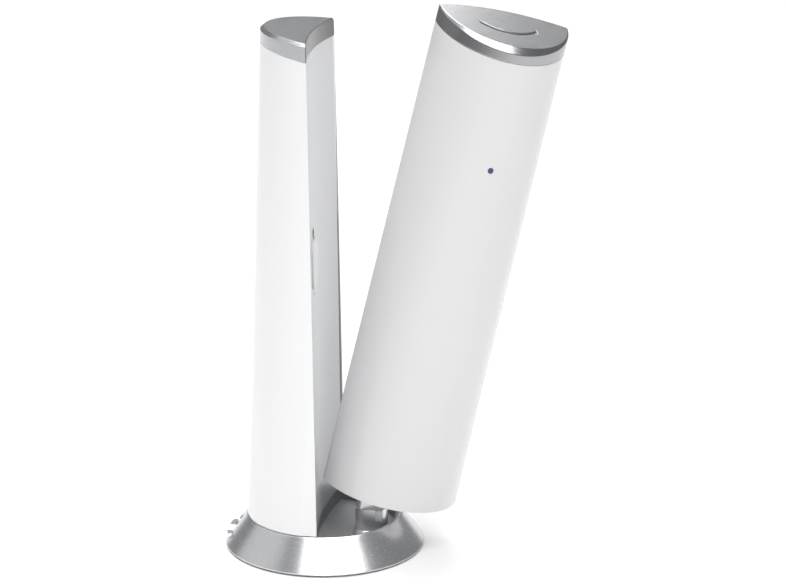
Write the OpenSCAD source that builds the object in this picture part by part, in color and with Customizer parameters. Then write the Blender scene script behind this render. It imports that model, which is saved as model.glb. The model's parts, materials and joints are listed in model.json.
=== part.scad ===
// Cordless phone: a half-round handset leaning on the charging post of a
// round base, which carries a tall half-round column.
// Origin at the centre of the base, on the table; -Y is the handset's side.

/* [Base] */
// Radius of the base ring where it meets the table
ring_r = 38; // [36:0.5:42]
// Radius of the ring's upper rim, and of the column's foot
rim_r = 29.5; // [28:0.5:31]
// Height of the rim above the table
ring_h = 12.6; // [12:0.2:15]
// Height of the well's floor above the table
well_floor = 7.1; // [6.8:0.1:7.6]

/* [Column] */
// Height of the silver cap's lower edge on the flat side
col_band = 191.6; // [150:0.5:210]
// Height of the silver cap on the flat side
cap_h = 6.8; // [5:0.2:9]
// Radius of the column's rounded back at the top
col_top_r = 28.1; // [26:0.5:29.5]
// Wall of the column's shell
col_wall = 2; // [1.6:0.2:2.4]

/* [Handset] */
// Length of the handset from its foot to the top of its cap
hs_len = 185.4; // [160:0.5:200]
// Half the handset's width at the foot
hs_half = 27.1; // [26:0.1:28]
// Half the handset's width at the top
hs_half_top = 25.1; // [24:0.1:27]
// Depth of the rounded outer side in front of the edges
hs_out = 22.4; // [20:0.2:24]
// Bulge of the keypad side behind the edges
hs_in = 4.8; // [4.4:0.1:5.2]
// Wall of the handset's shells
hs_wall = 2; // [1.6:0.2:2.4]

/* [Stance] */
// Lean of the handset away from upright, in degrees
hs_lean = 13.1; // [0:0.5:15]
// Direction that the handset leans towards, in degrees from +X
hs_lean_dir = -76.5; // [-90:1:-60]
// Turn of the handset about its own axis, in degrees
hs_turn = -66.6; // [-75:1:-60]

/* [Keys] */
// Spacing of the dialling keys across the handset
key_dx = 12.2; // [11.5:0.1:12.6]
// Spacing of the dialling keys along the handset
key_dz = 9.6; // [9:0.1:10]
// Width of a dialling key
key_w = 9.6; // [8:0.1:9.8]
// Height of a dialling key
key_h = 6.6; // [6:0.1:7]
// Distance that a key stands proud of the keypad side
key_proud = 0.5; // [0.3:0.1:0.8]

/* [Hidden] */
$fn = 96;
eps = 0.01;
fit = 0.2;              // clearance round a key
hs_pos = [4.0, -24.5, 22.3];
DIAL = ["1", "2", "3", "4", "5", "6", "7", "8", "9", "star", "0", "hash"];

// ring
ring_low = 0.5;                        // underside of the ring above the table
edge_z = 1.2;                          // top of the ring's upright lower edge
rim_in = rim_r - 1.2;                  // inside of the rim
ring_wall = 2;                         // wall of the sloping side, measured level
slope = (ring_r - rim_r) / (ring_h - edge_z);
plate_z = 0.9;
plate_top = 2.4;
tray_r = rim_in - 0.1;
tray_low = well_floor - 1.2;
screw_ring = 23.6;                     // radius that the base screws stand on
screw_turn = [30, 150, 270];
jack_low = 2.5;
jack_top = 9.4;
jack_face = 30.2;                      // how far back the jacks' mouths stand
jack_back = 19;
line_x = 10.4;
jack_room = [-10, 17];                 // room for both jacks, across
sill = [-9.5, 16.5];                   // lip under the jacks' mouths, across
sill_top = 4.4;
power_x = -2.6;

// column
foot_z = ring_h + 0.3;
face_r = 160;                          // radius of the hollow face
face_mid = 0.4;                        // hollow face's middle at the foot
face_lean = 0.75;                      // lean of the hollow face
col_lean = 1.83;                       // lean of the rounded back
col_run = 190;
band_slope = 10;                       // slope of the cap's lower edge
top_slope = 7;                         // slope of the cap's top
cap_edge = 1.1;                        // chamfer round the caps' tops
col_screw = [19.5, 7];                 // column's screws, across and back
panel_t = 1.8;
panel_side = 1.5;                      // shell left beside the panel
page_x = -11.5;
page_z = 114;
page_w = 13;
page_h = 18;
page_proud = 0.6;
page_back = 4;                         // key's hidden back
page_travel = 0.7;

// charging post
post_pos = [-5, -18.95];
post_size = [11, 12.1];
post_top = 17.4;
tab_at = [-5.7, -4.75];                // contact tab's corner from the post's middle
tab_size = [2, 2.4, 4.1];
tab_low = 13.2;
shoe_at = [-8.6, -6.4];                // shoe's middle in the handset's foot
shoe_size = [9, 6];
shoe_rise = 7.6;                       // shoe's top above the handset's foot
pin_x = 2.5;                           // contact pins from the shoe's middle
pin_r = 0.7;
pin_len = 2.8;                         // pin below its tapered tip

// handset
out_r0 = (hs_half * hs_half + hs_out * hs_out) / (2 * hs_out);
out_r1 = (hs_half_top * hs_half_top + hs_out * hs_out) / (2 * hs_out);
in_r = (hs_half * hs_half + hs_in * hs_in) / (2 * hs_in);
out_lean = atan((out_r0 - out_r1) / hs_len);
hs_band = hs_len - 6.3;                // cap's lower edge
hs_band_slope = 15.4;
hs_top_slope = 16.8;
hs_foot_slope = 3.8;
groove_r = 15.4;                       // curved groove in the cap's top
groove_w = 1.5;
groove_deep = 0.8;
split_y = 1;                           // joint between shell and cover
cover_wall = 1.6;
board_y = [-3.4, -1.8];
mat_y = [-1.7, -0.6];
key_low = 0.1;                         // underside of a key
door_z = [1.2, 55];
door_half = 14.5;
door_t = 1.3;
cell_r = 5.2;
cell_z = 11;
cell_len = 44.5;
cell_y = -6.4;
hs_screw = [18.2, 4];                  // handset's screws, across and up from the foot
hs_screw_seat = 1.5;                   // underside of their heads
side_x = 14.4;                         // keys beside the select key
side_w = 8;
side_drop = 4.4;                       // talk and end keys below its middle
side_rise = 4.8;                       // soft keys above it
talk_h = 6.4;
soft_h = 6;
select_w = 14;
dial_z = 67;                           // middle of the lowest key row
nav_z = 113;
display_z = [128, 154];
display_half = 15;
ear_z = 164;
guide_at = [1.2, 133];                 // status light, across and up the outer side
guide_r = 1;

// ---- shared shapes ----

// everything below the plane through [y, z], rising towards +Y by an angle
module below(z, slope_a, y = 0) {
    translate([0, y, z])
        rotate([slope_a, 0, 0])
            translate([-100, -150, -400])
                cube([200, 300, 400]);
}

module rounded_block(x, y, z, r) {
    linear_extrude(z)
        union() {
            square([x - 2 * r, y], center = true);
            square([x, y - 2 * r], center = true);
            for (i = [-1, 1], j = [-1, 1])
                translate([i * (x / 2 - r), j * (y / 2 - r)])
                    circle(r, $fn = 48);
        }
}

// column's rounded back, drawn in by "inset"
module col_round(inset) {
    translate([0, 0, foot_z])
        rotate([col_lean, 0, 0])
            translate([0, 0, -12])
                cylinder(h = col_run + 40, r1 = rim_r - inset + 0.09, r2 = col_top_r - inset - 0.23, $fn = 160);
}

// what the hollow face clears away, drawn back by "inset"
module col_hollow(inset) {
    translate([0, face_mid - face_r, foot_z])
        rotate([-face_lean, 0, 0])
            translate([0, 0, -30])
                cylinder(h = 300, r = face_r + inset, $fn = 720);
}

// keeps the column's two edges blunt
module col_solid(inset, hollow) {
    difference() {
        intersection() {
            col_round(inset);
            translate([-(rim_r - 0.35 - inset), -60, 0])
                cube([2 * (rim_r - 0.35 - inset), 120, 260]);
        }
        col_hollow(hollow);
        translate([-60, -60, -60])
            cube([120, 120, foot_z + 60]);
    }
}

module place_handset() {
    translate(hs_pos)
        rotate(a = hs_lean, v = [cos(hs_lean_dir + 90), sin(hs_lean_dir + 90), 0])
            rotate([0, 0, hs_turn])
                children();
}

// handset's lens-shaped bar, drawn in by "inset"; x across, +y keypad side, z up
module hs_bar(inset) {
    intersection() {
        translate([0, out_r0 - hs_out, 0])
            rotate([out_lean, 0, 0])
                translate([0, 0, -10])
                    cylinder(h = hs_len + 40, r1 = out_r0 - inset + 0.12, r2 = out_r1 - inset - 0.36, $fn = 160);
        translate([0, hs_in - in_r, -10])
            cylinder(h = hs_len + 40, r = in_r - inset, $fn = 480);
        translate([-(hs_half - 0.4 - inset), -60, -20])
            cube([2 * (hs_half - 0.4 - inset), 120, 260]);
    }
}

// room above the foot, "up" higher
module above_foot(up) {
    difference() {
        translate([-60, -60, -30])
            cube([120, 120, 300]);
        below(up, hs_foot_slope);
    }
}

// a prism through the keypad side, centred at x, z
module through_cover(x, z, w, h, r, y0, y1) {
    translate([x, y0, z])
        rotate([-90, 0, 0])
            rounded_block(w, h, y1 - y0, r);
}

// a key with its retaining flange, its top following the keypad side
module key(x, z, w, h, r) {
    place_handset()
        union() {
            intersection() {
                through_cover(x, z, w, h, r, key_low, 12);
                translate([0, hs_in - in_r, z - 20])
                    cylinder(h = 40, r = in_r + key_proud, $fn = 480);
            }
            through_cover(x, z, w + 1, h + 1, r, key_low, key_low + 0.9);
        }
}

module key_hole(x, z, w, h, r) {
    through_cover(x, z, w + 2 * fit, h + 2 * fit, r + fit, -1, 12);
}

// seen from the keypad side, +x is on the left
function dial_x(i) = (1 - i % 3) * key_dx;
function dial_row(i) = dial_z + (3 - floor(i / 3)) * key_dz;

// ---- base ----

module ring_profile() {
    polygon([
        [ring_r - 0.4, ring_low], [ring_r, ring_low + 0.35], [ring_r, edge_z],
        [rim_r + 0.35, ring_h - 0.5], [rim_r, ring_h - 0.12], [rim_r - 0.2, ring_h],
        [rim_in + 0.15, ring_h], [rim_in, ring_h - 0.15], [rim_in, 5], [rim_r, 5],
        [rim_r, ring_h - 2.9], [ring_r - ring_wall, edge_z], [ring_r - ring_wall, ring_low]
    ]);
}

// upright lip on the slope, under the jacks' mouths
module jack_sill() {
    intersection() {
        rotate_extrude($fn = 180)
            polygon([[ring_r - 0.5, edge_z + 0.1], [ring_r - 0.5, sill_top],
                     [ring_r - 2.8, sill_top], [ring_r - 1.4, edge_z + 0.1]]);
        translate([sill[0], 20, 0])
            cube([sill[1] - sill[0], 30, 10]);
    }
}

module base_ring() {
    color("silver")
        difference() {
            union() {
                rotate_extrude($fn = 180)
                    ring_profile();
                jack_sill();
            }
            // windows for the two jacks
            translate([line_x - 4.6, 26, jack_low + 0.2])
                cube([9.2, 20, 6.6]);
            translate([power_x, 20, jack_low + 3.5])
                rotate([-90, 0, 0])
                    cylinder(h = 25, r = 3.6);
            // room behind them, inside the sloping side
            translate([jack_room[0], 15, 4])
                cube([jack_room[1] - jack_room[0], jack_face - 15, jack_top - 3.8]);
        }
}

module foot_ring() {
    color("dimgray")
        rotate_extrude($fn = 120)
            translate([30, 0])
                polygon([[0.3, 0], [4.3, 0], [4.6, 0.3], [4.6, plate_z], [0, plate_z], [0, 0.3]]);
}

module base_plate() {
    color("gainsboro")
        difference() {
            translate([0, 0, plate_z])
                cylinder(h = plate_top - plate_z, r = ring_r - ring_wall - 1.1, $fn = 120);
            for (a = screw_turn)
                rotate([0, 0, a])
                    translate([screw_ring, 0, 0]) {
                        cylinder(h = 4, r = 1.3);
                        cylinder(h = plate_z + 0.9, r = 2.6);
                    }
            // rating-label recess
            translate([-11, -7, plate_z - 1])
                cube([22, 14, 1.3]);
        }
}

module base_screws() {
    color("lightsteelblue")
        for (a = screw_turn)
            rotate([0, 0, a])
                translate([screw_ring, 0, plate_z + 0.1])
                    difference() {
                        union() {
                            cylinder(h = 0.8, r = 2.4);
                            cylinder(h = 4.4, r = 1.15);
                        }
                        for (b = [0, 90])
                            rotate([0, 0, b])
                                translate([-1.4, -0.25, -1])
                                    cube([2.8, 0.5, 1.4]);
                    }
}

// ballast: a disc under the well and a ring inside the sloping side
module base_weight() {
    color("slategray")
        difference() {
            union() {
                translate([0, 0, plate_top + 0.1])
                    cylinder(h = tray_low - plate_top - 0.2, r = 20.4);
                rotate_extrude($fn = 120)
                    polygon([[rim_r + 0.2, plate_top + 0.1], [ring_r - ring_wall - 1.4, plate_top + 0.1],
                             [rim_r + 0.9, ring_h - 4.6], [rim_r + 0.2, ring_h - 4.6]]);
            }
            translate([0, 0, -1])
                cylinder(h = 20, r = 5);
            translate([jack_room[0] - 1, jack_back - 1, 0])
                cube([jack_room[1] - jack_room[0] + 2, 40, 20]);
            // room for the heads of the column's screws
            for (i = [-1, 1])
                translate([i * col_screw[0], col_screw[1], 0])
                    cylinder(h = 20, r = 2.5);
        }
}

module well_tray() {
    color("dimgray")
        difference() {
            union() {
                translate([0, 0, tray_low])
                    cylinder(h = 11.4 - tray_low, r = tray_r, $fn = 120);
                for (a = screw_turn)
                    rotate([0, 0, a])
                        translate([screw_ring, 0, plate_top])
                            cylinder(h = tray_low - plate_top + 0.1, r = 2.6);
            }
            translate([0, 0, well_floor])
                cylinder(h = 10, r = tray_r - 1.2, $fn = 120);
            for (a = screw_turn)
                rotate([0, 0, a])
                    translate([screw_ring, 0, 0])
                        cylinder(h = 6.2, r = 1.2);
            for (i = [-1, 1])
                translate([i * col_screw[0], col_screw[1], 0])
                    cylinder(h = 20, r = 1.3);
            // room for the jacks and the column's cable
            translate([jack_room[0] - 0.5, jack_back - 0.5, 0])
                cube([jack_room[1] - jack_room[0] + 1, 40, 20]);
            translate([0, 10, 0])
                cylinder(h = 20, r = 4);
        }
}

module charging_post() {
    color("silver")
        translate([post_pos[0], post_pos[1], well_floor])
            difference() {
                union() {
                    rounded_block(post_size[0], post_size[1], post_top - well_floor, 4.2);
                    hull() {
                        rounded_block(post_size[0] + 2, post_size[1] + 2, 0.5, 5.2);
                        rounded_block(post_size[0] + 0.1, post_size[1] + 0.1, 1.9, 4.25);
                    }
                }
                // channel for the contact leads
                translate([0, 0, -1])
                    cylinder(h = 20, r = 1.6);
                // seat of the contact tab
                translate([tab_at[0] - 1, tab_at[1] - 0.1, tab_low - well_floor - 0.6])
                    cube([tab_size[0] + 1.1, tab_size[1] + 0.2, 20]);
            }
}

// white tab that carries the charging contacts' leads
module contact_tab() {
    color("white")
        translate([post_pos[0] + tab_at[0], post_pos[1] + tab_at[1], tab_low])
            cube(tab_size);
}

module shoe_frame() {
    place_handset()
        translate([shoe_at[0], shoe_at[1], 0])
            children();
}

module charging_shoe() {
    color("dimgray")
        difference() {
            shoe_frame()
                difference() {
                    translate([0, 0, -14])
                        rounded_block(shoe_size[0], shoe_size[1], 14 + shoe_rise, 1.5);
                    for (i = [-1, 1])
                        translate([i * pin_x, 0, shoe_rise - 4])
                            cylinder(h = 10, r = pin_r + 0.1);
                }
            translate([-60, -60, -60])
                cube([120, 120, 60 + post_top]);
        }
}

module contact_pin(side) {
    color("gold")
        shoe_frame()
            translate([side * pin_x, 0, shoe_rise - 2.8]) {
                cylinder(h = pin_len, r = pin_r);
                translate([0, 0, pin_len - eps])
                    cylinder(h = 0.35, r1 = pin_r, r2 = 0.35);
            }
}

module contact_pin_left() {
    contact_pin(-1);
}

module contact_pin_right() {
    contact_pin(1);
}

module power_jack() {
    color("dimgray")
        translate([power_x, 0, jack_low + 3.5])
            difference() {
                translate([-4.6, jack_back, -3.4])
                    cube([9.2, jack_face - jack_back, 6.8]);
                translate([0, jack_back + 2, 0])
                    rotate([-90, 0, 0])
                        difference() {
                            cylinder(h = 20, r = 2.75);
                            cylinder(h = 7.6, r = 0.8);
                        }
            }
}

module line_jack() {
    color("dimgray")
        translate([line_x, 0, jack_low])
            difference() {
                translate([-5, jack_back, 0.1])
                    cube([10, jack_face - jack_back, 6.8]);
                translate([-3.3, jack_back + 2, 1.6])
                    cube([6.6, 20, 3.6]);
                translate([-1.6, jack_back + 2, 5])
                    cube([3.2, 20, 1.2]);
            }
}

// ---- column ----

// plinth in the well's back half and the spigot that the shell slips over
module column_foot() {
    color("dimgray")
        difference() {
            union() {
                difference() {
                    translate([0, 0, well_floor])
                        cylinder(h = foot_z - well_floor, r = tray_r - 1.5, $fn = 120);
                    translate([0, face_mid - face_r, 0])
                        cylinder(h = 40, r = face_r + 0.4, $fn = 720);
                }
                intersection() {
                    col_solid(col_wall + 0.2, panel_t + 0.4);
                    cube([200, 200, 2 * (foot_z + 7)], center = true);
                }
            }
            // hollow for cables, and room over the jacks
            translate([-14, 6.5, foot_z - 3.2])
                cube([28, 12.5, 20]);
            translate([0, 10, 0])
                cylinder(h = 20, r = 3.5);
            translate([jack_room[0] - 0.5, jack_back - 0.5, 0])
                cube([jack_room[1] - jack_room[0] + 1, 40, jack_top + 0.3]);
            for (i = [-1, 1])
                translate([i * col_screw[0], col_screw[1], 0])
                    cylinder(h = well_floor + 4, r = 1.2);
        }
}

module column_screws() {
    color("lightsteelblue")
        for (i = [-1, 1])
            translate([i * col_screw[0], col_screw[1], tray_low - 1.3]) {
                cylinder(h = 1.2, r = 2.2);
                cylinder(h = 5, r = 1.15);
            }
}

module panel_sides(gap) {
    intersection() {
        col_round(panel_side + gap);
        translate([-60, -60, foot_z - gap])
            cube([120, 120, 400]);
    }
}

module column_shell() {
    color("white")
        difference() {
            intersection() {
                col_solid(0, 0);
                below(col_band, band_slope);
            }
            // inside
            difference() {
                translate([0, 0, -1])
                    col_round(col_wall);
                col_hollow(panel_t + 2.2);
            }
            // seat of the hollow face's panel
            intersection() {
                panel_sides(0);
                col_hollow(panel_t + 2.4);
            }
        }
}

module page_hole(extra) {
    translate([page_x, -3, page_z])
        rotate([-90, 0, 0])
            rounded_block(page_w + 2 * extra, page_h + 2 * extra, 8, 4 + extra);
}

module column_face() {
    color("gainsboro")
        difference() {
            intersection() {
                difference() {
                    panel_sides(0.25);
                    col_hollow(0);
                }
                col_hollow(panel_t);
                below(col_band, band_slope);
            }
            translate([-60, -60, -60])
                cube([120, 120, foot_z + 60.2]);
            page_hole(fit);
            // finger notch above the key and lens hole below it
            translate([page_x, 1, page_z + page_h / 2 + 2.2])
                sphere(r = 1.9);
            translate([page_x, -2, page_z - page_h / 2 - 3])
                rotate([-90, 0, 0])
                    cylinder(h = 8, r = 0.8);
        }
}

module page_key() {
    color("white")
        difference() {
            page_hole(0);
            col_hollow(-page_proud);
            // shallow dimple for the finger
            translate([page_x, face_mid - page_proud - 6.2, page_z])
                sphere(r = 7);
            translate([-60, page_back, 0])
                cube([120, 30, 200]);
        }
}

module page_switch() {
    color("dimgray")
        translate([page_x, 0, page_z]) {
            translate([-3, 6, -3])
                cube([6, 2.9, 6]);
            rotate([-90, 0, 0])
                translate([0, 0, page_back + page_travel + 0.2])
                    cylinder(h = 1.2, r = 1.6);
        }
}

module status_lens() {
    color("lightgreen")
        translate([page_x, 0, page_z - page_h / 2 - 3])
            rotate([-90, 0, 0])
                translate([0, 0, 1.2])
                    cylinder(h = 7.7, r = 0.75);
}

module base_board() {
    color("darkgreen")
        translate([-17, 9, foot_z + 9]) {
            cube([34, 1.5, 112]);
            translate([6, 1.5, 20])
                cube([9, 2.6, 14]);
            translate([6, 1.5, 60])
                cube([10, 4, 10]);
            translate([20, 1.5, 40])
                cube([8, 5, 8]);
        }
}

module antenna() {
    color("goldenrod")
        translate([0, 11.5, foot_z + 123]) {
            cylinder(h = 5, r = 3);
            cylinder(h = 42, r = 1.6);
        }
}

// a cone square to a sloping top, for the chamfer round it
module top_edge(y, z, r, slope_a) {
    translate([0, y, z + y * tan(slope_a)])
        rotate([slope_a, 0, 0])
            translate([0, 0, -60])
                cylinder(h = 60, r1 = r + 60, r2 = r, $fn = 160);
}

module column_cap() {
    color("silver")
        difference() {
            intersection() {
                col_solid(0, 0);
                below(col_band + cap_h, top_slope);
                top_edge(-col_run * sin(col_lean), col_band + cap_h, col_top_r - cap_edge, top_slope);
            }
            below(col_band + 0.15, band_slope);
            intersection() {
                col_solid(1.5, 1.5);
                below(col_band + cap_h - 1.6, top_slope);
            }
        }
}

// ---- handset ----

module hs_envelope(inset, lift) {
    intersection() {
        hs_bar(inset);
        above_foot(lift);
        below(hs_band, hs_band_slope);
    }
}

module socket_block(extra, h) {
    translate([shoe_at[0], shoe_at[1], -4])
        rounded_block(shoe_size[0] + 3.4 + 2 * extra, shoe_size[1] + 3.4 + 2 * extra, h + 4, 2.2);
}

module handset_shell() {
    color("white")
        place_handset()
            difference() {
                union() {
                    difference() {
                        hs_envelope(0, 0);
                        hs_envelope(hs_wall, hs_wall);
                    }
                    // screw bosses standing on the foot wall
                    for (i = [-1, 1])
                        translate([i * hs_screw[0], -8, hs_screw[1]])
                            rotate([-90, 0, 0])
                                cylinder(h = 8.9, r = 2.3);
                }
                translate([-60, split_y, -30])
                    cube([120, 60, 300]);
                for (i = [-1, 1])
                    translate([i * hs_screw[0], -6.4, hs_screw[1]])
                        rotate([-90, 0, 0])
                            cylinder(h = 20, r = 1.05);
                // room for the keys' flanges
                translate([-19.2, -0.4, dial_z - 8])
                    cube([38.4, 5, nav_z - dial_z + 18]);
                socket_block(0.1, 10.1);
                translate([guide_at[0], -40, guide_at[1]])
                    rotate([-90, 0, 0])
                        cylinder(h = 30, r = guide_r + 0.05);
            }
}

module display_hole(extra) {
    w = 2 * (display_half + extra);
    h = display_z[1] - display_z[0] + 2 * extra;
    through_cover(0, (display_z[0] + display_z[1]) / 2, w, h, 2.5 + extra, -1, 12);
}

module ear_slots() {
    for (i = [-1, 0, 1])
        through_cover(0, ear_z + i * 2.4, 11 - 3 * abs(i), 1, 0.45, -1, 12);
}

module door_space(extra) {
    translate([-door_half - extra, split_y - 1, door_z[0] - 8])
        cube([2 * (door_half + extra), 10, door_z[1] - door_z[0] + 8 + extra]);
}

module handset_cover() {
    color("whitesmoke")
        place_handset()
            difference() {
                difference() {
                    intersection() {
                        hs_envelope(0, 0);
                        translate([-60, split_y + 0.05, -30])
                            cube([120, 60, 300]);
                    }
                    difference() {
                        hs_bar(cover_wall);
                        // floor that the battery door lies on
                        translate([-60, 0, -30])
                            cube([120, 4, 30 + 7.2]);
                    }
                }
                // battery door's seat, open at the foot
                intersection() {
                    door_space(0.15);
                    difference() {
                        hs_bar(-3);
                        hs_bar(door_t + 0.15);
                    }
                }
                // way in to the cells
                translate([-12.5, -1, 8.5])
                    cube([25, 12, 43]);
                for (i = [-1, 1])
                    translate([i * hs_screw[0], 0, hs_screw[1]])
                        rotate([-90, 0, 0]) {
                            cylinder(h = 10, r = 1.2);
                            translate([0, 0, hs_screw_seat])
                                cylinder(h = 10, r = 2);
                        }
                display_hole(0);
                ear_slots();
                through_cover(0, 61, 3.4, 0.9, 0.4, -1, 12);
                for (i = [0 : 11])
                    key_hole(dial_x(i), dial_row(i), key_w, key_h, 2);
                for (i = [-1, 1]) {
                    key_hole(i * side_x, nav_z - side_drop, side_w, talk_h, 2);
                    key_hole(i * side_x, nav_z + side_rise, side_w, soft_h, 2);
                }
                key_hole(0, nav_z, select_w, select_w, select_w / 2 - 0.1);
            }
}

module handset_cap() {
    color("silver")
        place_handset()
            difference() {
                union() {
                    difference() {
                        intersection() {
                            hs_bar(0);
                            below(hs_len, hs_top_slope);
                            top_edge(out_r1 - hs_out, hs_len, out_r1 - cap_edge / 3, hs_top_slope);
                        }
                        below(hs_band + 0.15, hs_band_slope);
                    }
                    // skirt inside the shells
                    difference() {
                        intersection() {
                            hs_bar(hs_wall + 0.15);
                            below(hs_band + 1, hs_band_slope);
                        }
                        below(hs_band - 3.5, hs_band_slope);
                    }
                }
                intersection() {
                    hs_bar(hs_wall + 1.35);
                    below(hs_len - 1.6, hs_top_slope);
                }
                // curved groove across the top
                intersection() {
                    translate([0, out_r1 - hs_out + 2, 0])
                        difference() {
                            cylinder(h = 260, r = groove_r + groove_w);
                            cylinder(h = 260, r = groove_r);
                        }
                    translate([-11, -30, 0])
                        cube([22, 30, 260]);
                    difference() {
                        translate([-60, -60, 0])
                            cube([120, 120, 260]);
                        below(hs_len - groove_deep, hs_top_slope);
                    }
                }
            }
}

module charge_socket() {
    color("dimgray")
        place_handset()
            difference() {
                intersection() {
                    socket_block(0, 10);
                    above_foot(0);
                }
                translate([shoe_at[0], shoe_at[1], -5])
                    rounded_block(shoe_size[0] + 0.8, shoe_size[1] + 0.8, 5 + 8.6, 1.8);
            }
}

module socket_pads() {
    color("gold")
        place_handset()
            for (i = [-1, 1])
                translate([shoe_at[0] + i * pin_x - 1.5, shoe_at[1] - 1.5, 8.3])
                    cube([3, 3, 0.3]);
}

module handset_board() {
    color("darkgreen")
        place_handset() {
            translate([-19, board_y[0], 59])
                cube([38, board_y[1] - board_y[0], 103]);
            translate([-10, board_y[0] - 3, 84])
                cube([16, 3, 14]);
            translate([6, board_y[0] - 2, 106])
                cube([9, 2, 9]);
            translate([guide_at[0] - 1.5, board_y[0] - 1, guide_at[1] - 1.5])
                cube([3, 1, 3]);
        }
}

module keypad_mat() {
    color("gray")
        place_handset()
            translate([-19, mat_y[0], dial_z - 5])
                cube([38, mat_y[1] - mat_y[0], nav_z + 9 - dial_z + 5]);
}

module display_window() {
    color("dimgray")
        place_handset()
            intersection() {
                display_hole(-0.1);
                difference() {
                    translate([0, hs_in - in_r, 0])
                        cylinder(h = 200, r = in_r - 0.1, $fn = 480);
                    translate([0, hs_in - in_r, -1])
                        cylinder(h = 202, r = in_r - 1.3, $fn = 480);
                }
            }
}

module display_module() {
    color("slategray")
        place_handset()
            translate([-13.8, board_y[1] + 0.1, display_z[0] + 1.5])
                cube([27.6, 3, display_z[1] - display_z[0] - 3]);
}

module earpiece_grille() {
    color("darkgray")
        place_handset()
            translate([0, 0, ear_z])
                rotate([-90, 0, 0])
                    translate([0, 0, 2.4])
                        cylinder(h = 0.4, r = 6.4);
}

module earpiece_speaker() {
    color("dimgray")
        place_handset()
            translate([0, 0, ear_z])
                rotate([-90, 0, 0])
                    translate([0, 0, -1.6])
                        cylinder(h = 3.8, r = 7.2);
}

module ringer_speaker() {
    color("dimgray")
        place_handset()
            translate([0, 0, 144])
                rotate([-90, 0, 0])
                    translate([0, 0, -9.5]) {
                        cylinder(h = 3, r = 9);
                        cylinder(h = 5.9, r = 5);
                    }
}

module microphone() {
    color("dimgray")
        place_handset()
            translate([0, 0, 59])
                rotate([-90, 0, 0])
                    translate([0, 0, -1.6])
                        cylinder(h = 3.2, r = 2.2);
}

module light_guide() {
    color("midnightblue")
        place_handset()
            intersection() {
                translate([guide_at[0], -40, guide_at[1]])
                    rotate([-90, 0, 0])
                        cylinder(h = 40 + board_y[0] - 1.1, r = guide_r);
                hs_bar(-0.25);
            }
}

module battery_cells() {
    color("steelblue")
        place_handset()
            for (i = [-1, 1])
                translate([i * 5.7, cell_y, cell_z]) {
                    cylinder(h = cell_len - 0.8, r = cell_r);
                    cylinder(h = cell_len, r = 1.9);
                }
}

module battery_door() {
    color("whitesmoke")
        place_handset()
            difference() {
                intersection() {
                    door_space(0);
                    difference() {
                        hs_bar(0);
                        hs_bar(door_t);
                    }
                    above_foot(0.1);
                    translate([-60, split_y + 0.2, -30])
                        cube([120, 60, 300]);
                }
                // thumb ridges
                for (i = [0 : 3])
                    translate([-6, hs_in - 0.25, 42 + i * 2.2])
                        cube([12, 5, 0.9]);
            }
}

module handset_screws() {
    color("lightsteelblue")
        place_handset()
            for (i = [-1, 1])
                translate([i * hs_screw[0], 0, hs_screw[1]])
                    rotate([-90, 0, 0]) {
                        translate([0, 0, -6])
                            cylinder(h = 6 + hs_screw_seat + 0.1, r = 1);
                        translate([0, 0, hs_screw_seat + 0.03])
                            cylinder(h = 0.6, r = 1.8);
                    }
}

module talk_key() {
    color("seagreen")
        key(side_x, nav_z - side_drop, side_w, talk_h, 2);
}

module end_key() {
    color("firebrick")
        key(-side_x, nav_z - side_drop, side_w, talk_h, 2);
}

module soft_key_left() {
    color("silver")
        key(side_x, nav_z + side_rise, side_w, soft_h, 2);
}

module soft_key_right() {
    color("silver")
        key(-side_x, nav_z + side_rise, side_w, soft_h, 2);
}

module select_key() {
    color("silver")
        key(0, nav_z, select_w, select_w, select_w / 2 - 0.1);
}

module dial_key(i) {
    color("white")
        key(dial_x(i), dial_row(i), key_w, key_h, 2);
}

base_ring();
foot_ring();
base_plate();
base_screws();
base_weight();
well_tray();
charging_post();
charging_shoe();
contact_tab();
contact_pin_left();
contact_pin_right();
power_jack();
line_jack();
column_foot();
column_screws();
column_shell();
column_face();
column_cap();
base_board();
antenna();
page_key();
page_switch();
status_lens();
handset_shell();
handset_cover();
handset_cap();
charge_socket();
socket_pads();
handset_board();
keypad_mat();
display_window();
display_module();
earpiece_grille();
earpiece_speaker();
ringer_speaker();
microphone();
light_guide();
battery_cells();
battery_door();
handset_screws();
talk_key();
end_key();
select_key();
soft_key_left();
soft_key_right();
for (i = [0 : 11])
    dial_key(i);
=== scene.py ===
import json
import math
from functools import partial

import bpy
import numpy as np
from mathutils import Matrix, Vector


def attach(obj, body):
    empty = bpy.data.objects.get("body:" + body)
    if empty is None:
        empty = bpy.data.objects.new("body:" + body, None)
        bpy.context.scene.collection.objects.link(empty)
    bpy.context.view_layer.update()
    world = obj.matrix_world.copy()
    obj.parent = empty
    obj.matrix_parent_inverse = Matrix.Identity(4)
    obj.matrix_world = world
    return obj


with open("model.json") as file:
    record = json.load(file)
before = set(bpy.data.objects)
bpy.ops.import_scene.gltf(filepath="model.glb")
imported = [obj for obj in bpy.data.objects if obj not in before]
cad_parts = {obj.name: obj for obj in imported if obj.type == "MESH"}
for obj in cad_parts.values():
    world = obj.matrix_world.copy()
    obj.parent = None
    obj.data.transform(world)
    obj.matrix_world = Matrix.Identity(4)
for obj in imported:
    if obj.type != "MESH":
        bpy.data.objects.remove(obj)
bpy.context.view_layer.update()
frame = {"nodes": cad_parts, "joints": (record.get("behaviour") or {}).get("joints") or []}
nodes = frame["nodes"]
joints = {j["name"]: j for j in frame["joints"]}

MM = 0.001

# the handset's own directions, from the joints: along it, out of its keypad side, and across it
ALONG = Vector(joints["handset_lift"]["axis"]).normalized()
KEY_OUT = -Vector(joints["key_5_press"]["axis"]).normalized()
ACROSS = KEY_OUT.cross(ALONG).normalized()


# ---- node helpers ----

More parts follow.
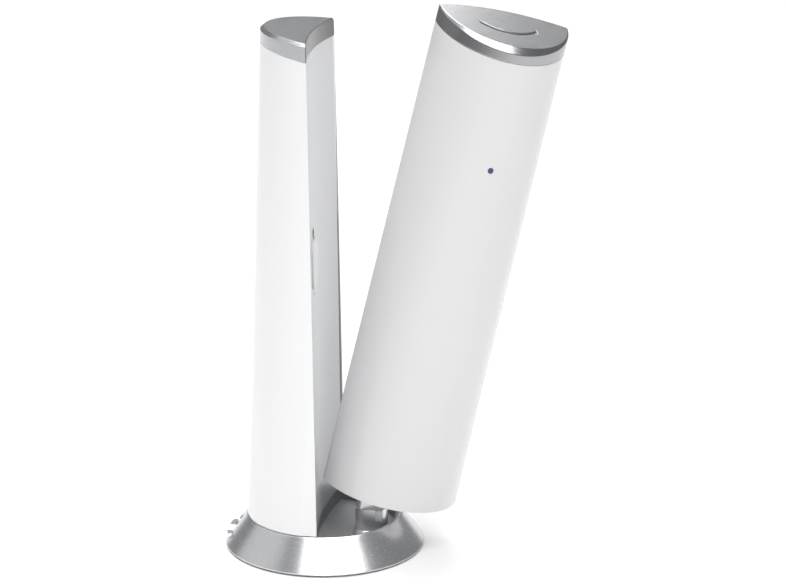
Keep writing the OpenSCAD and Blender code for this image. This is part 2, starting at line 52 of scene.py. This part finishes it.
class Nodes:
    """A material's node tree, with short names for the nodes that the finishes share."""

    def __init__(self, name):
        self.mat = bpy.data.materials.new(name)
        self.mat.use_nodes = True
        self.tree = self.mat.node_tree
        self.bsdf = self.tree.nodes["Principled BSDF"]
        self.coord = self.tree.nodes.new("ShaderNodeTexCoord").outputs["Object"]

    def new(self, kind, **values):
        """A node, with values for its settings or, where it has no such setting, its inputs."""
        node = self.tree.nodes.new(kind)
        for key, value in values.items():
            if hasattr(node, key):
                setattr(node, key, value)
            else:
                node.inputs[key].default_value = value
        return node

    def link(self, a, b):
        self.tree.links.new(a, b)

    def xyz(self):
        """The point's three coordinates."""
        split = self.new("ShaderNodeSeparateXYZ")
        self.link(self.coord, split.inputs[0])
        return split.outputs

    def noise(self, scale, detail, vector=None):
        node = self.new("ShaderNodeTexNoise", Scale=scale, Detail=detail, Roughness=0.55)
        self.link(vector or self.coord, node.inputs["Vector"])
        return node.outputs["Fac"]

    def ramp(self, fac, low, high, a, b):
        """a below low, b above high; a and b are colours or grey levels."""
        node = self.new("ShaderNodeValToRGB")
        first, last = node.color_ramp.elements
        first.position = low
        last.position = high
        first.color = colour(a)
        last.color = colour(b)
        self.link(fac, node.inputs["Fac"])
        return node.outputs["Color"]

    def span(self, fac, a, b):
        """a where fac is 0, b where it is 1."""
        node = self.new("ShaderNodeMapRange")
        node.inputs["To Min"].default_value = a
        node.inputs["To Max"].default_value = b
        self.link(fac, node.inputs["Value"])
        return node.outputs["Result"]

    def below(self, value, limit, soft):
        """1 where value is under limit, fading to 0 over a soft width."""
        node = self.new("ShaderNodeMapRange", interpolation_type="SMOOTHSTEP")
        self.link(value, node.inputs["Value"])
        node.inputs["From Min"].default_value = limit - soft
        node.inputs["From Max"].default_value = limit + soft
        node.inputs["To Min"].default_value = 1.0
        node.inputs["To Max"].default_value = 0.0
        return node.outputs["Result"]

    def math(self, operation, a, b=None):
        """A sum on sockets and numbers."""
        node = self.new("ShaderNodeMath", operation=operation)
        for socket, value in zip(node.inputs, (a, b)):
            if value is None:
                continue
            if isinstance(value, (int, float)):
                socket.default_value = value
            else:
                self.link(value, socket)
        return node.outputs[0]

    def mix(self, fac, a, b):
        """a where fac is 0, b where it is 1; a and b are sockets or colours."""
        node = self.new("ShaderNodeMix", data_type="RGBA")
        self.link(fac, node.inputs["Factor"])
        colour_inputs = node.inputs[6:8]
        for socket, value in zip(colour_inputs, (a, b)):
            if isinstance(value, bpy.types.NodeSocket):
                self.link(value, socket)
            else:
                socket.default_value = colour(value)
        return node.outputs[2]

    def bump(self, height, strength, distance, soft_edge=0.0):
        """Bump from a height, over edges that are softened by a rounding radius."""
        node = self.new("ShaderNodeBump", Strength=strength, Distance=distance)
        self.link(height, node.inputs["Height"])
        if soft_edge:
            edge = self.new("ShaderNodeBevel", samples=6)
            edge.inputs["Radius"].default_value = soft_edge
            self.link(edge.outputs["Normal"], node.inputs["Normal"])
        self.link(node.outputs["Normal"], self.bsdf.inputs["Normal"])

    def set(self, **values):
        """Values or sockets for the shader's inputs, with _ for a space in their names."""
        for key, value in values.items():
            socket = self.bsdf.inputs[key.replace("_", " ")]
            if isinstance(value, bpy.types.NodeSocket):
                self.link(value, socket)
            elif isinstance(value, tuple):
                socket.default_value = colour(value)
            else:
                socket.default_value = value


def colour(value):
    if isinstance(value, (int, float)):
        return (value, value, value, 1.0)
    return tuple(value[:3]) + (1.0,)


def moulded(name, base=None, rough=0.3, coat=0.0, grain=0.012, grain_scale=2600, edge=0.25 * MM,
            tone=0.05, uneven=0.15):
    """Moulded plastic: faint uneven tone, fine texture, softened edges. No base leaves the colour open."""
    n = Nodes(name)
    if base:
        darker = tuple(c * (1 - tone) for c in base)
        n.set(Base_Color=n.ramp(n.noise(55, detail=4), 0.3, 0.7, darker, base))
    n.set(Roughness=n.span(n.noise(160, detail=5), rough * (1 - uneven), rough * (1 + uneven)))
    n.set(Coat_Weight=coat, Coat_Roughness=0.08)
    n.bump(n.noise(grain_scale, detail=2), strength=grain, distance=0.4 * MM, soft_edge=edge)
    return n


def lathe_lines(n):
    """Coordinates that stretch a noise round the upright axis, as turning leaves its lines."""
    stretch = 0.006
    x, y, z = n.xyz()
    across = n.math("SQRT", n.math("ADD", n.math("MULTIPLY", x, x), n.math("MULTIPLY", y, y)))
    return n.math("MULTIPLY", n.math("ARCTAN2", y, x), stretch), across, z


def level_lines(n):
    """Coordinates that stretch a noise sideways, as brushing leaves its lines."""
    stretch = 0.03
    x, y, z = n.xyz()
    return n.math("MULTIPLY", x, stretch), n.math("MULTIPLY", y, stretch), z


def satin_metal(name, lines, rough, streaks, base=None, edge=0.2 * MM):
    """Metal with fine lines and softened edges. No base leaves the colour open."""
    n = Nodes(name)
    joined = n.new("ShaderNodeCombineXYZ")
    for coordinate, socket in zip(lines(n), joined.inputs):
        n.link(coordinate, socket)
    brushed = n.noise(4200, detail=4, vector=joined.outputs[0])
    if base:
        n.set(Base_Color=n.ramp(brushed, 0.35, 0.65, tuple(c * 0.9 for c in base), base))
    n.set(Metallic=1.0, Roughness=n.span(brushed, rough - 0.05, rough + 0.06))
    n.bump(brushed, strength=streaks, distance=0.1 * MM, soft_edge=edge)
    return n


# ---- finishes ----

# the column's hollow face: its curve, its middle at the foot, the foot's height, and its lean with height
FACE_RADIUS = 160 * MM
FACE_MIDDLE = 0.4 * MM
FACE_FOOT = 12.9 * MM
FACE_LEAN = 0.0131

# the painted shade at its far edge: where it starts and ends at floor level, and its spread with height
PAINTED_SHADE_START = 25.6 * MM
PAINTED_SHADE_SPREAD = 0.0115
PAINTED_SHADE_END = -1.5 * MM
PAINTED_SHADE_TONE = (0.035, 0.036, 0.04)

# the finger notch above the page key, and how far round its middle the painted shadow goes
PAGE_NOTCH = (-11.5 * MM, 1.0 * MM, 125.2 * MM)
NOTCH_SHADOW_REACH = 2.2 * MM
NOTCH_SHADOW_TONE = (0.10, 0.10, 0.11)

# how far a mask's edge fades
MASK_SOFT = 0.1 * MM


def white_shell(name):
    """Glossy white moulding with a clear lacquer and a faint uneven sheen, coloured a darker white than
    the column's shell as painted shade.
    """
    # painted shade: a darker white than the column's shell
    return moulded(name, (0.715, 0.712, 0.716), rough=0.27, coat=0.35, grain=0.006, grain_scale=1500,
                   edge=0.12 * MM, tone=0.006, uneven=0.02).mat


def white_panel(name):
    """Semi-gloss white moulding, a little greyer than the outer shells."""
    return moulded(name, (0.66, 0.665, 0.675), rough=0.34, coat=0.1, grain=0.05, tone=0.05).mat


def far_edge(n):
    """Mask of the painted shade down the column's far edge on the hollow side, wider towards the foot."""
    x, y, z = n.xyz()
    start = n.math("ADD", n.math("MULTIPLY", z, PAINTED_SHADE_SPREAD), PAINTED_SHADE_START)
    side = n.below(n.math("SUBTRACT", start, x), 0.0, 0.08 * MM)
    face = n.math("SUBTRACT", y, n.math("MULTIPLY", z, FACE_LEAN))
    return n.math("MULTIPLY", side, n.below(face, PAINTED_SHADE_END, MASK_SOFT))


def spot(n, centre, radius):
    """Mask of a ball round a point."""
    away = n.new("ShaderNodeVectorMath", operation="DISTANCE")
    n.link(n.coord, away.inputs[0])
    away.inputs[1].default_value = centre
    return n.below(away.outputs["Value"], radius, MASK_SOFT)


def column_outside(name):
    """Glossy white shell, with painted shade at its far edge."""
    n = moulded(name, rough=0.27, coat=0.35, grain=0.006, grain_scale=1500, edge=0.2 * MM, uneven=0.02)
    white = n.ramp(n.noise(50, detail=3), 0.3, 0.7, (0.868, 0.868, 0.872), (0.873, 0.873, 0.877))
    # painted shade: a dark strip down the far edge, wider towards the foot
    n.set(Base_Color=n.mix(far_edge(n), white, PAINTED_SHADE_TONE))
    return n.mat


def column_inside(name):
    """Hollow panel with painted shade: greyer towards its foot, dark down its far edge, and a painted
    shadow round the notch.
    """
    n = moulded(name, rough=0.36, coat=0.1, grain=0.05)
    # painted shade: the face's colour greys towards its foot
    shade_run = 200 * MM
    height = n.math("DIVIDE", n.xyz()[2], shade_run)
    cloud = n.math("MULTIPLY", n.math("SUBTRACT", n.noise(45, detail=4), 0.5), 0.06)
    grey = n.ramp(n.math("ADD", height, cloud), 0.1, 0.9, (0.46, 0.465, 0.48), (0.68, 0.685, 0.695))
    # painted shadow: a dark spot round the notch above the page key
    shaded = n.mix(spot(n, PAGE_NOTCH, NOTCH_SHADOW_REACH), grey, NOTCH_SHADOW_TONE)
    # painted shade: a dark strip down the far edge, wider towards the foot
    n.set(Base_Color=n.mix(far_edge(n), shaded, PAINTED_SHADE_TONE))
    return n.mat


def satin_ring(name):
    return satin_metal(name, lathe_lines, rough=0.25, streaks=0.02, base=(0.76, 0.765, 0.78), edge=0.0).mat


def satin_cap(name):
    """Satin metal, with painted shade: the cap's side is coloured darker than its top."""
    n = satin_metal(name, level_lines, rough=0.24, streaks=0.12, edge=0.5 * MM)
    facing = n.new("ShaderNodeVectorMath", operation="DOT_PRODUCT")
    n.link(n.new("ShaderNodeNewGeometry").outputs["Normal"], facing.inputs[0])
    facing.inputs[1].default_value = ALONG
    side = n.below(facing.outputs["Value"], 0.82, 0.06)
    top = n.ramp(n.noise(700, detail=3), 0.3, 0.7, (0.66, 0.665, 0.68), (0.72, 0.725, 0.74))
    # painted shade: the cap's side is coloured darker than its top
    n.set(Base_Color=n.mix(side, top, (0.42, 0.422, 0.43)))
    return n.mat


def hollow_side(n):
    """Mask of the column's hollow side, a thin skin on either side of its curved face."""
    x, y, z = n.xyz()
    bow = n.math("MULTIPLY", n.math("MULTIPLY", x, x), 1 / (2 * FACE_RADIUS))
    rise = n.math("MULTIPLY", n.math("SUBTRACT", z, FACE_FOOT), FACE_LEAN)
    face = n.math("ADD", n.math("SUBTRACT", rise, bow), FACE_MIDDLE)
    return n.below(n.math("SUBTRACT", y, face), 0.25 * MM, MASK_SOFT)


def column_cap_metal(name):
    """Satin metal, with painted shade: the hollow side is coloured darker."""
    n = satin_metal(name, level_lines, rough=0.22, streaks=0.12)
    light = n.ramp(n.noise(700, detail=3), 0.3, 0.7, (0.62, 0.625, 0.64), (0.68, 0.685, 0.70))
    # painted shade: the cap's hollow side is coloured dark
    n.set(Base_Color=n.mix(hollow_side(n), light, (0.13, 0.13, 0.135)))
    return n.mat


def polished_post(name):
    """Chrome with a trace of handling marks."""
    n = Nodes(name)
    marks = n.noise(260, detail=6)
    n.set(Base_Color=n.ramp(marks, 0.4, 0.7, (0.80, 0.81, 0.82), (0.88, 0.885, 0.89)))
    n.set(Metallic=0.7, Roughness=n.span(marks, 0.24, 0.34))
    n.bump(n.noise(1800, detail=2), strength=0.008, distance=0.05 * MM, soft_edge=0.3 * MM)
    return n.mat


def dark_moulding(name):
    return moulded(name, (0.055, 0.056, 0.06), rough=0.5, grain=0.25, grain_scale=1800, tone=0.3).mat


def well_moulding(name):
    return moulded(name, (0.27, 0.273, 0.28), rough=0.42, grain=0.2, grain_scale=1800, tone=0.2).mat


def rubber(name, base):
    n = moulded(name, base, rough=0.8, grain=0.5, grain_scale=1500, tone=0.3)
    n.set(Sheen_Weight=0.15, Sheen_Roughness=0.5)
    return n.mat


def cast_iron(name):
    n = moulded(name, (0.09, 0.09, 0.095), rough=0.65, grain=0.8, grain_scale=900, tone=0.4)
    n.set(Metallic=0.7)
    return n.mat


def zinc_steel(name):
    n = Nodes(name)
    grain = n.noise(1400, detail=4)
    n.set(Base_Color=n.ramp(grain, 0.3, 0.7, (0.46, 0.46, 0.48), (0.66, 0.66, 0.67)))
    n.set(Metallic=1.0, Roughness=n.span(grain, 0.22, 0.42))
    n.bump(grain, strength=0.15, distance=0.05 * MM, soft_edge=0.1 * MM)
    return n.mat


def gold_plate(name):
    n = Nodes(name)
    wear = n.noise(900, detail=4)
    n.set(Base_Color=n.ramp(wear, 0.35, 0.7, (0.72, 0.50, 0.20), (0.88, 0.66, 0.28)))
    n.set(Metallic=1.0, Roughness=n.span(wear, 0.15, 0.32))
    n.bump(wear, strength=0.05, distance=0.05 * MM)
    return n.mat


def circuit_board(name):
    """Green solder mask over copper tracks."""
    n = Nodes(name)
    tracks = n.new("ShaderNodeTexVoronoi", Scale=260.0, distance="MANHATTAN", feature="DISTANCE_TO_EDGE")
    n.link(n.coord, tracks.inputs["Vector"])
    line = n.ramp(tracks.outputs["Distance"], 0.04, 0.09, (0.10, 0.36, 0.17), (0.02, 0.15, 0.07))
    n.set(Base_Color=line, Roughness=n.span(n.noise(300, detail=3), 0.25, 0.45), Coat_Weight=0.3)
    n.bump(tracks.outputs["Distance"], strength=0.15, distance=0.05 * MM)
    return n.mat


def tinted(name, base, rough=0.06, clear=0.85):
    """Clear tinted plastic."""
    n = Nodes(name)
    cloud = n.noise(500, detail=3)
    n.set(Base_Color=n.ramp(cloud, 0.3, 0.7, tuple(c * 0.85 for c in base), base))
    n.set(Roughness=n.span(cloud, rough, rough + 0.05))
    n.set(Transmission_Weight=clear, IOR=1.49)
    return n.mat


def blue_light(name):
    """Dark blue lens of the handset's status light."""
    n = Nodes(name)
    cloud = n.noise(900, detail=3)
    n.set(Base_Color=n.ramp(cloud, 0.3, 0.7, (0.006, 0.014, 0.10), (0.012, 0.03, 0.17)))
    n.set(Roughness=n.span(cloud, 0.12, 0.2), Coat_Weight=0.6)
    return n.mat


def screen_back(name):
    """Grey-green panel with the display's fine rows."""
    n = Nodes(name)
    rows = n.new("ShaderNodeTexWave", Scale=900.0, Distortion=0.0, bands_direction="Z")
    n.link(n.coord, rows.inputs["Vector"])
    n.set(Base_Color=n.ramp(rows.outputs["Fac"], 0.2, 0.8, (0.50, 0.58, 0.56), (0.58, 0.66, 0.63)))
    n.set(Roughness=n.span(n.noise(200, detail=2), 0.35, 0.5))
    return n.mat


def speaker_cone(name):
    return moulded(name, (0.03, 0.03, 0.032), rough=0.55, grain=0.5, grain_scale=1200, tone=0.4).mat


def fine_mesh(name):
    """Steel gauze: a square lattice of tiny holes."""
    n = Nodes(name)
    pitch = 9000
    x, y, z = n.xyz()
    weft = n.math("SINE", n.math("MULTIPLY", y, pitch))
    warp = n.math("SINE", n.math("MULTIPLY", z, pitch))
    lattice = n.math("MULTIPLY", weft, warp)
    n.set(Base_Color=n.ramp(lattice, 0.0, 0.35, (0.42, 0.42, 0.44), (0.02, 0.02, 0.02)))
    n.set(Metallic=0.8, Roughness=n.span(lattice, 0.3, 0.5))
    n.bump(lattice, strength=0.4, distance=0.1 * MM)
    return n.mat


def cell_sleeve(name):
    """Glossy green shrink sleeve, a little wrinkled."""
    n = Nodes(name)
    n.set(Base_Color=n.ramp(n.noise(80, detail=3), 0.35, 0.65, (0.05, 0.22, 0.20), (0.07, 0.30, 0.26)))
    n.set(Roughness=n.span(n.noise(700, detail=3), 0.18, 0.3), Coat_Weight=0.4)
    n.bump(n.noise(240, detail=4), strength=0.1, distance=0.3 * MM)
    return n.mat


def key_moulding(name, base):
    return moulded(name, base, rough=0.3, coat=0.2, grain=0.03, edge=0.45 * MM, tone=0.05).mat


def painted_silver(name):
    n = Nodes(name)
    flake = n.noise(6000, detail=2)
    n.set(Base_Color=n.ramp(flake, 0.3, 0.7, (0.44, 0.45, 0.47), (0.60, 0.61, 0.63)))
    n.set(Metallic=0.75, Roughness=n.span(flake, 0.26, 0.38), Coat_Weight=0.4)
    n.bump(flake, strength=0.05, distance=0.05 * MM, soft_edge=0.45 * MM)
    return n.mat


def print_ink(name, base):
    n = Nodes(name)
    darker = tuple(c * 0.8 for c in base)
    n.set(Base_Color=n.ramp(n.noise(1500, detail=3), 0.3, 0.7, darker, base))
    n.set(Roughness=n.span(n.noise(900, detail=2), 0.4, 0.55))
    return n.mat


DIAL_KEYS = ["key_" + d for d in "1 2 3 4 5 6 7 8 9 star 0 hash".split()]
FINISHES = [
    (white_shell, ["handset_shell", "contact_tab"]),
    (white_panel, ["handset_cover", "battery_door", "page_key"]),
    (column_outside, ["column_shell"]),
    (column_inside, ["column_face"]),
    (satin_ring, ["base_ring"]),
    (satin_cap, ["handset_cap"]),
    (column_cap_metal, ["column_cap"]),
    (polished_post, ["charging_post", "charging_shoe"]),
    (well_moulding, ["well_tray", "column_foot"]),
    (dark_moulding, ["charge_socket", "power_jack", "line_jack", "page_switch", "base_plate"]),
    (partial(rubber, base=(0.035, 0.035, 0.038)), ["foot_ring"]),
    (partial(rubber, base=(0.22, 0.22, 0.23)), ["keypad_mat"]),
    (cast_iron, ["base_weight"]),
    (zinc_steel, ["base_screws", "column_screws", "handset_screws"]),
    (gold_plate, ["contact_pin_left", "contact_pin_right", "socket_pads", "antenna"]),
    (circuit_board, ["base_board", "handset_board"]),
    (partial(tinted, base=(0.35, 0.75, 0.45)), ["status_lens"]),
    (blue_light, ["light_guide"]),
    (partial(tinted, base=(0.86, 0.89, 0.89), rough=0.03, clear=0.97), ["display_window"]),
    (screen_back, ["display_module"]),
    (speaker_cone, ["earpiece_speaker", "ringer_speaker", "microphone"]),
    (fine_mesh, ["earpiece_grille"]),
    (cell_sleeve, ["battery_cells"]),
    (partial(key_moulding, base=(0.74, 0.745, 0.76)), DIAL_KEYS),
    (painted_silver, ["select_key", "soft_key_left", "soft_key_right"]),
    (partial(key_moulding, base=(0.06, 0.36, 0.14)), ["talk_key"]),
    (partial(key_moulding, base=(0.55, 0.05, 0.05)), ["end_key"]),
]


def finish_nodes():
    for make, names in FINISHES:
        mat = make("finish_" + names[0])
        for name in names:
            nodes[name].data.materials.clear()
            nodes[name].data.materials.append(mat)


# ---- printed and display details on the keypad side ----

KEY_FRAME = Matrix((-ACROSS, ALONG, KEY_OUT)).transposed()


def top_centre(node):
    """Middle of a node's outermost face on the keypad side."""
    points = np.array([v.co for v in nodes[node].data.vertices])
    out = points @ np.array(KEY_OUT)
    across = points @ np.array(ACROSS)
    along = points @ np.array(ALONG)
    mid_across = (across.max() + across.min()) / 2
    mid_along = (along.max() + along.min()) / 2
    return ACROSS * mid_across + ALONG * mid_along + KEY_OUT * out.max()


def lay(name, data, place, mat, body):
    """Lays a mark's mesh or text on the keypad side, riding on a body."""
    obj = bpy.data.objects.new(name, data)
    bpy.context.scene.collection.objects.link(obj)
    obj.matrix_world = Matrix.Translation(place) @ KEY_FRAME.to_4x4()
    data.materials.append(mat)
    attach(obj, body)


def stamp(name, text, size, place, mat, body):
    """A printed sign facing out of the keypad side."""
    curve = bpy.data.curves.new(name, "FONT")
    curve.body = text
    curve.size = size
    curve.extrude = 0.02 * MM
    curve.align_x = "CENTER"
    curve.align_y = "CENTER"
    lay(name, curve, place, mat, body)


def plate(name, outline, place, mat, body, thick=0.05 * MM):
    """A thin flat shape lying on the keypad side, from its outline in the key frame."""
    mesh = bpy.data.meshes.new(name)
    count = len(outline)
    low = [(x, y, 0) for x, y in outline]
    high = [(x, y, thick) for x, y in outline]
    under = tuple(reversed(range(count)))
    over = tuple(range(count, 2 * count))
    sides = [(i, (i + 1) % count, count + (i + 1) % count, count + i) for i in range(count)]
    mesh.from_pydata(low + high, [], [under, over] + sides)
    lay(name, mesh, place, mat, body)


def rectangle(x0, y0, x1, y1):
    return [(x0, y0), (x1, y0), (x1, y1), (x0, y1)]


def arc(cx, cy, r, start, end, steps):
    turns = [math.radians(start + (end - start) * i / steps) for i in range(steps + 1)]
    return [(cx + r * math.cos(a), cy + r * math.sin(a)) for a in turns]


def turned(outline, degrees):
    """An outline turned about the middle of the key frame."""
    turn = math.radians(degrees)
    return [(x * math.cos(turn) - y * math.sin(turn), x * math.sin(turn) + y * math.cos(turn))
            for x, y in outline]


def handset_icon(size, tilt):
    """Outline of a telephone receiver, as a bowed bar with two feet."""
    drop = size * 0.3
    outer = arc(0, -size * 0.5, size, 30, 150, 12)
    inner = arc(0, -size * 0.5, size * 0.68, 140, 40, 12)
    return turned([(x, y - drop) for x, y in outer + inner], tilt)


def select_key_marks(ink, pale):
    """Four arrows round the select key, and a pale disc in its middle."""
    place = top_centre("select_key")
    reach = 4.9 * MM
    tall = 1.0 * MM
    half = 0.9 * MM
    arrow = [(0, reach + tall), (-half, reach), (half, reach)]
    sunk = 0.12 * MM
    for i in range(4):
        plate("mark_select_%d" % i, turned(arrow, 90 * i), place - KEY_OUT * sunk, ink,
              "select_key", thick=0.14 * MM)
    hub = arc(0, 0, 2.9 * MM, 0, 360, 48)[:-1]
    plate("select_hub", hub, place, pale, "select_key", thick=0.03 * MM)


def key_marks():
    ink = print_ink("ink_dark", (0.10, 0.11, 0.13))
    pale = print_ink("ink_pale", (0.85, 0.86, 0.87))
    signs = {"star": "*", "hash": "#"}
    for key in DIAL_KEYS:
        sign = key.split("_")[1]
        size = 7 * MM if sign == "star" else 4.2 * MM
        drop = -ALONG * 1.2 * MM if sign == "star" else Vector()
        stamp("mark_" + sign, signs.get(sign, sign), size, top_centre(key) + drop, ink, key)
    for key, slot, tilt in (("talk_key", "key_green", 40), ("end_key", "key_red", 0)):
        plate("mark_" + key, handset_icon(2.3 * MM, tilt), top_centre(key), pale, key)
    dash = rectangle(-1.6 * MM, -0.2 * MM, 1.6 * MM, 0.2 * MM)
    for key in ("soft_key_left", "soft_key_right"):
        plate("mark_" + key, dash, top_centre(key), ink, key)
    select_key_marks(ink, pale)


def cell_icon(x, y):
    """Outline of a battery cell, from its lower left corner."""
    body_end = x + 4 * MM
    nub_end = x + 4.5 * MM
    nub_low = y + 0.6 * MM
    nub_high = y + 1.4 * MM
    top = y + 2 * MM
    nub = [(body_end, nub_low), (nub_end, nub_low), (nub_end, nub_high), (body_end, nub_high)]
    return [(x, y), (body_end, y)] + nub + [(body_end, top), (x, top)]


def screen_marks():
    """What the display shows: the time, signal bars and a cell outline."""
    ink = print_ink("display_ink", (0.02, 0.03, 0.03))
    face = top_centre("display_module")
    stamp("shown_time", "10:24", 7.2 * MM, face, ink, "handset")
    step = 1.3 * MM
    wide = 0.8 * MM
    foot = 7.2 * MM
    for i in range(4):
        tall = (1.2 + 0.6 * i) * MM
        x = -11.5 * MM + i * step
        bar = rectangle(x, foot, x + wide, foot + tall)
        plate("shown_signal_%d" % i, bar, face, ink, "handset")
    plate("shown_cell", cell_icon(7.6 * MM, 7.4 * MM), face, ink, "handset")


# ---- stage ----

def floor_material():
    n = Nodes("stage_floor")
    n.set(Base_Color=n.ramp(n.noise(2, detail=2), 0.3, 0.7, 0.93, 0.95))
    n.set(Roughness=n.span(n.noise(30, detail=2), 0.5, 0.6))
    return n.mat


def stage_floor():
    half = 12.0
    corners = [(x, y, 0) for x, y in rectangle(-half, -half, half, half)]
    mesh = bpy.data.meshes.new("stage_floor")
    mesh.from_pydata(corners, [], [(0, 1, 2, 3)])
    obj = bpy.data.objects.new("stage_floor", mesh)
    bpy.context.scene.collection.objects.link(obj)
    mesh.materials.append(floor_material())


# level directions as the camera sees them: to its right, and back from the object towards it
VIEW_AZIMUTH = math.radians(-80.75)
VIEW_RIGHT = Vector((math.cos(VIEW_AZIMUTH), math.sin(VIEW_AZIMUTH), 0))
VIEW_BACK = Vector((math.sin(VIEW_AZIMUTH), -math.cos(VIEW_AZIMUTH), 0))
UP = Vector((0, 0, 1))


def aim(obj, place, target):
    obj.location = place
    obj.rotation_euler = (target - place).to_track_quat("-Z", "Y").to_euler()
    bpy.context.scene.collection.objects.link(obj)


def soft_light(name, right, back, up, width, height, watts, target):
    """A softbox placed to the right of, in front of and above the object in the camera's view."""
    light = bpy.data.lights.new(name, "AREA")
    light.shape = "RECTANGLE"
    light.size = width
    light.size_y = height
    light.energy = watts
    place = VIEW_RIGHT * right + VIEW_BACK * back + UP * up
    aim(bpy.data.objects.new(name, light), place, target)


# the point on the object that the softboxes face
LIT_HEIGHT = 0.08
LIT_POINT = Vector((0, -0.03, LIT_HEIGHT))


def bearing_light(name, turn, lift, distance, width, height, watts):
    """A softbox at a turn to the camera's right and a lift above the floor, both in degrees."""
    bearing = math.radians(turn)
    rise = math.radians(lift)
    level = distance * math.cos(rise)
    soft_light(name, level * math.sin(bearing), level * math.cos(bearing),
               distance * math.sin(rise) + LIT_HEIGHT, width, height, watts, LIT_POINT)


def studio():
    bearing_light("front_softbox", turn=14, lift=56, distance=1.6, width=1.6, height=0.8, watts=19.5)
    bearing_light("left_softbox", turn=-95, lift=36, distance=1.4, width=1.3, height=1.2, watts=2.2)
    bearing_light("top_softbox", turn=180, lift=86, distance=1.7, width=1.4, height=1.4, watts=12)
    floor_back = -1.3
    soft_light("floor_softbox", right=0.0, back=floor_back, up=1.5, width=2.4, height=1.0, watts=20,
               target=VIEW_BACK * floor_back)
    world = bpy.data.worlds.new("studio")
    world.use_nodes = True
    sky = world.node_tree.nodes["Background"]
    sky.inputs["Color"].default_value = (0.97, 0.98, 1.0, 1)
    sky.inputs["Strength"].default_value = 0.26
    scene = bpy.context.scene
    scene.world = world
    scene.view_settings.view_transform = "Standard"


def main_camera():
    """The photograph's view, from the projection fit."""
    aim_right = 26.05 * MM
    aim_up = 98.9 * MM
    lift = math.radians(16.2)
    distance = 0.997
    camera = bpy.data.cameras.new("main_camera")
    camera.sensor_width = 36.0
    camera.lens = 122.0
    camera.clip_start = 0.01
    obj = bpy.data.objects.new("main_camera", camera)
    target = VIEW_RIGHT * aim_right + UP * aim_up
    back = VIEW_BACK * math.cos(lift) + UP * math.sin(lift)
    aim(obj, target + back * distance, target)
    bpy.context.scene.camera = obj


finish_nodes()
key_marks()
screen_marks()
stage_floor()
studio()
main_camera()
